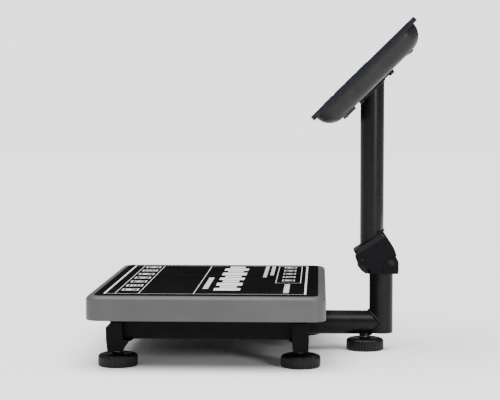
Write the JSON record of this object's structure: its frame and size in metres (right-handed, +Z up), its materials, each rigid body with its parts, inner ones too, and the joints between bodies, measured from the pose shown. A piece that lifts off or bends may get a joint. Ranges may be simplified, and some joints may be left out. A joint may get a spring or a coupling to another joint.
{
  "type": "platform weighing scale",
  "caption": "Bench weighing scale: square platter on a levelling frame, arm and folding post carrying a tilted indicator head.",
  "frame": {"origin": "on the floor under the middle of the whole scale", "axes": "+Z up, +Y from the operator's side to the back where the mast stands, +X to the operator's right"},
  "size_m": [0.4, 0.419, 0.4434],
  "materials": {
    "grey_cover": "satin grey baked paint",
    "print_film": "black printed polyester film",
    "foot_plastic": "moulded black nylon",
    "zinc_steel": "zinc plated",
    "black_paint": "fine textured black powder coat",
    "tube_paint": "satin charcoal powder coat",
    "cell_aluminium": "milled and anodised",
    "bolt_steel": "zinc plated",
    "black_screw": "blackened",
    "bright_bolt": "bright zinc",
    "spring_steel": "drawn wire",
    "pad_rubber": "soft black rubber",
    "joint_casting": "black enamel over a die casting",
    "lever_plastic": "moulded black nylon",
    "head_plastic": "fine grained dark grey ABS",
    "plug_plastic": "moulded black polyethylene",
    "level_glass": "clear with a green fluid",
    "window_plastic": "smoked acrylic",
    "keypad_film": "textured printed film",
    "lcd_glass": "reflective display",
    "board_green": "solder masked laminate",
    "battery_wrap": "shrink wrap",
    "switch_plastic": "moulded black nylon"
  },
  "bodies": {
    "base": {"arm_boss": "tube_paint", "arm_socket": "black_paint", "arm_tube": "tube_paint", "base_plate": "black_paint", "cell_bolts": "bolt_steel", "cell_spacer_lower": "zinc_steel", "cell_spacer_upper": "zinc_steel", "front_beam": "black_paint", "leg_front_left": "black_paint", "leg_front_right": "black_paint", "leg_rear_left": "black_paint", "leg_rear_right": "black_paint", "level_cup": "plug_plastic", "level_glass": "level_glass", "load_cell": "cell_aluminium", "load_spider": "black_paint", "lower_bracket": "joint_casting", "lower_post": "tube_paint", "overload_stops": "bolt_steel", "pivot_bolt": "bright_bolt", "pivot_nut": "bright_bolt", "post_plug": "plug_plastic", "rail_left": "black_paint", "rail_right": "black_paint", "rear_beam": "black_paint", "socket_bolts": "bolt_steel", "spider_pads": "pad_rubber"},
    "platter": {"platter_cover": "grey_cover", "platter_film": "print_film"},
    "stud_front_left": {"foot_stud_front_left": "zinc_steel"},
    "knob_front_left": {"foot_knob_front_left": "foot_plastic"},
    "stud_front_right": {"foot_stud_front_right": "zinc_steel"},
    "knob_front_right": {"foot_knob_front_right": "foot_plastic"},
    "stud_rear_left": {"foot_stud_rear_left": "zinc_steel"},
    "knob_rear_left": {"foot_knob_rear_left": "foot_plastic"},
    "stud_rear_right": {"foot_stud_rear_right": "zinc_steel"},
    "knob_rear_right": {"foot_knob_rear_right": "foot_plastic"},
    "stud_arm": {"foot_stud_arm": "zinc_steel"},
    "knob_arm": {"foot_knob_arm": "foot_plastic"},
    "mast": {"upper_casting": "joint_casting", "lever_pin": "bright_bolt", "lever_spring": "spring_steel", "post_flange": "tube_paint", "flange_screws": "black_screw", "upper_post": "tube_paint", "head_plate": "tube_paint", "plate_screws": "black_screw", "head_back": "head_plastic", "head_bezel": "head_plastic", "display_window": "window_plastic", "keypad_overlay": "keypad_film", "lcd_module": "lcd_glass", "main_board": "board_green", "battery_pack": "battery_wrap", "switch_body": "switch_plastic", "charger_socket": "switch_plastic", "cable_grommet": "pad_rubber", "rear_bumper": "pad_rubber"},
    "lever": {"release_lever": "lever_plastic"},
    "rocker": {"power_rocker": "switch_plastic"}
  },
  "joints": [
    {"name": "platter_lift", "type": "slide", "parent": "base", "child": "platter", "axis": [0, 0, 1], "range_m": [0, 0.06]},
    {"name": "mast_fold", "type": "hinge", "parent": "base", "child": "mast", "pos_m": [0, 0.17824, 0.1192], "axis": [-1, 0, 0], "range_deg": [0, 90]},
    {"name": "lever_squeeze", "type": "hinge", "parent": "mast", "child": "lever", "pos_m": [0, 0.13954, 0.124], "axis": [-1, 0, 0], "range_deg": [0, 18], "stiffness_Nm_per_rad": 0.3, "springref_deg": -20.05},
    {"name": "power_switch", "type": "hinge", "parent": "mast", "child": "rocker", "pos_m": [0.066, 0.11916, 0.3228], "axis": [-1, 0, 0], "range_deg": [0, 14]},
    {"name": "foot_raise_front_left", "type": "slide", "parent": "base", "child": "stud_front_left", "axis": [0, 0, -1], "range_m": [0, 0.0091]},
    {"name": "foot_turn_front_left", "type": "hinge", "parent": "stud_front_left", "child": "knob_front_left", "pos_m": [-0.147, -0.17376, 0.01], "axis": [0, 0, -1], "range_deg": [0, 2160]},
    {"name": "foot_raise_front_right", "type": "slide", "parent": "base", "child": "stud_front_right", "axis": [0, 0, -1], "range_m": [0, 0.0091]},
    {"name": "foot_turn_front_right", "type": "hinge", "parent": "stud_front_right", "child": "knob_front_right", "pos_m": [0.147, -0.17376, 0.01], "axis": [0, 0, -1], "range_deg": [0, 2160]},
    {"name": "foot_raise_rear_left", "type": "slide", "parent": "base", "child": "stud_rear_left", "axis": [0, 0, -1], "range_m": [0, 0.0091]},
    {"name": "foot_turn_rear_left", "type": "hinge", "parent": "stud_rear_left", "child": "knob_rear_left", "pos_m": [-0.147, 0.05864, 0.01], "axis": [0, 0, -1], "range_deg": [0, 2160]},
    {"name": "foot_raise_rear_right", "type": "slide", "parent": "base", "child": "stud_rear_right", "axis": [0, 0, -1], "range_m": [0, 0.0091]},
    {"name": "foot_turn_rear_right", "type": "hinge", "parent": "stud_rear_right", "child": "knob_rear_right", "pos_m": [0.147, 0.05864, 0.01], "axis": [0, 0, -1], "range_deg": [0, 2160]},
    {"name": "foot_raise_arm", "type": "slide", "parent": "base", "child": "stud_arm", "axis": [0, 0, -1], "range_m": [0, 0.0091]},
    {"name": "foot_turn_arm", "type": "hinge", "parent": "stud_arm", "child": "knob_arm", "pos_m": [0, 0.14414, 0.01], "axis": [0, 0, -1], "range_deg": [0, 2160]}
  ],
  "couplings": [
    {"joint": "foot_raise_front_left", "follows": "foot_turn_front_left", "m_per_rad": 0.00023873},
    {"joint": "foot_raise_front_right", "follows": "foot_turn_front_right", "m_per_rad": 0.00023873},
    {"joint": "foot_raise_rear_left", "follows": "foot_turn_rear_left", "m_per_rad": 0.00023873},
    {"joint": "foot_raise_rear_right", "follows": "foot_turn_rear_right", "m_per_rad": 0.00023873},
    {"joint": "foot_raise_arm", "follows": "foot_turn_arm", "m_per_rad": 0.00023873}
  ]
}
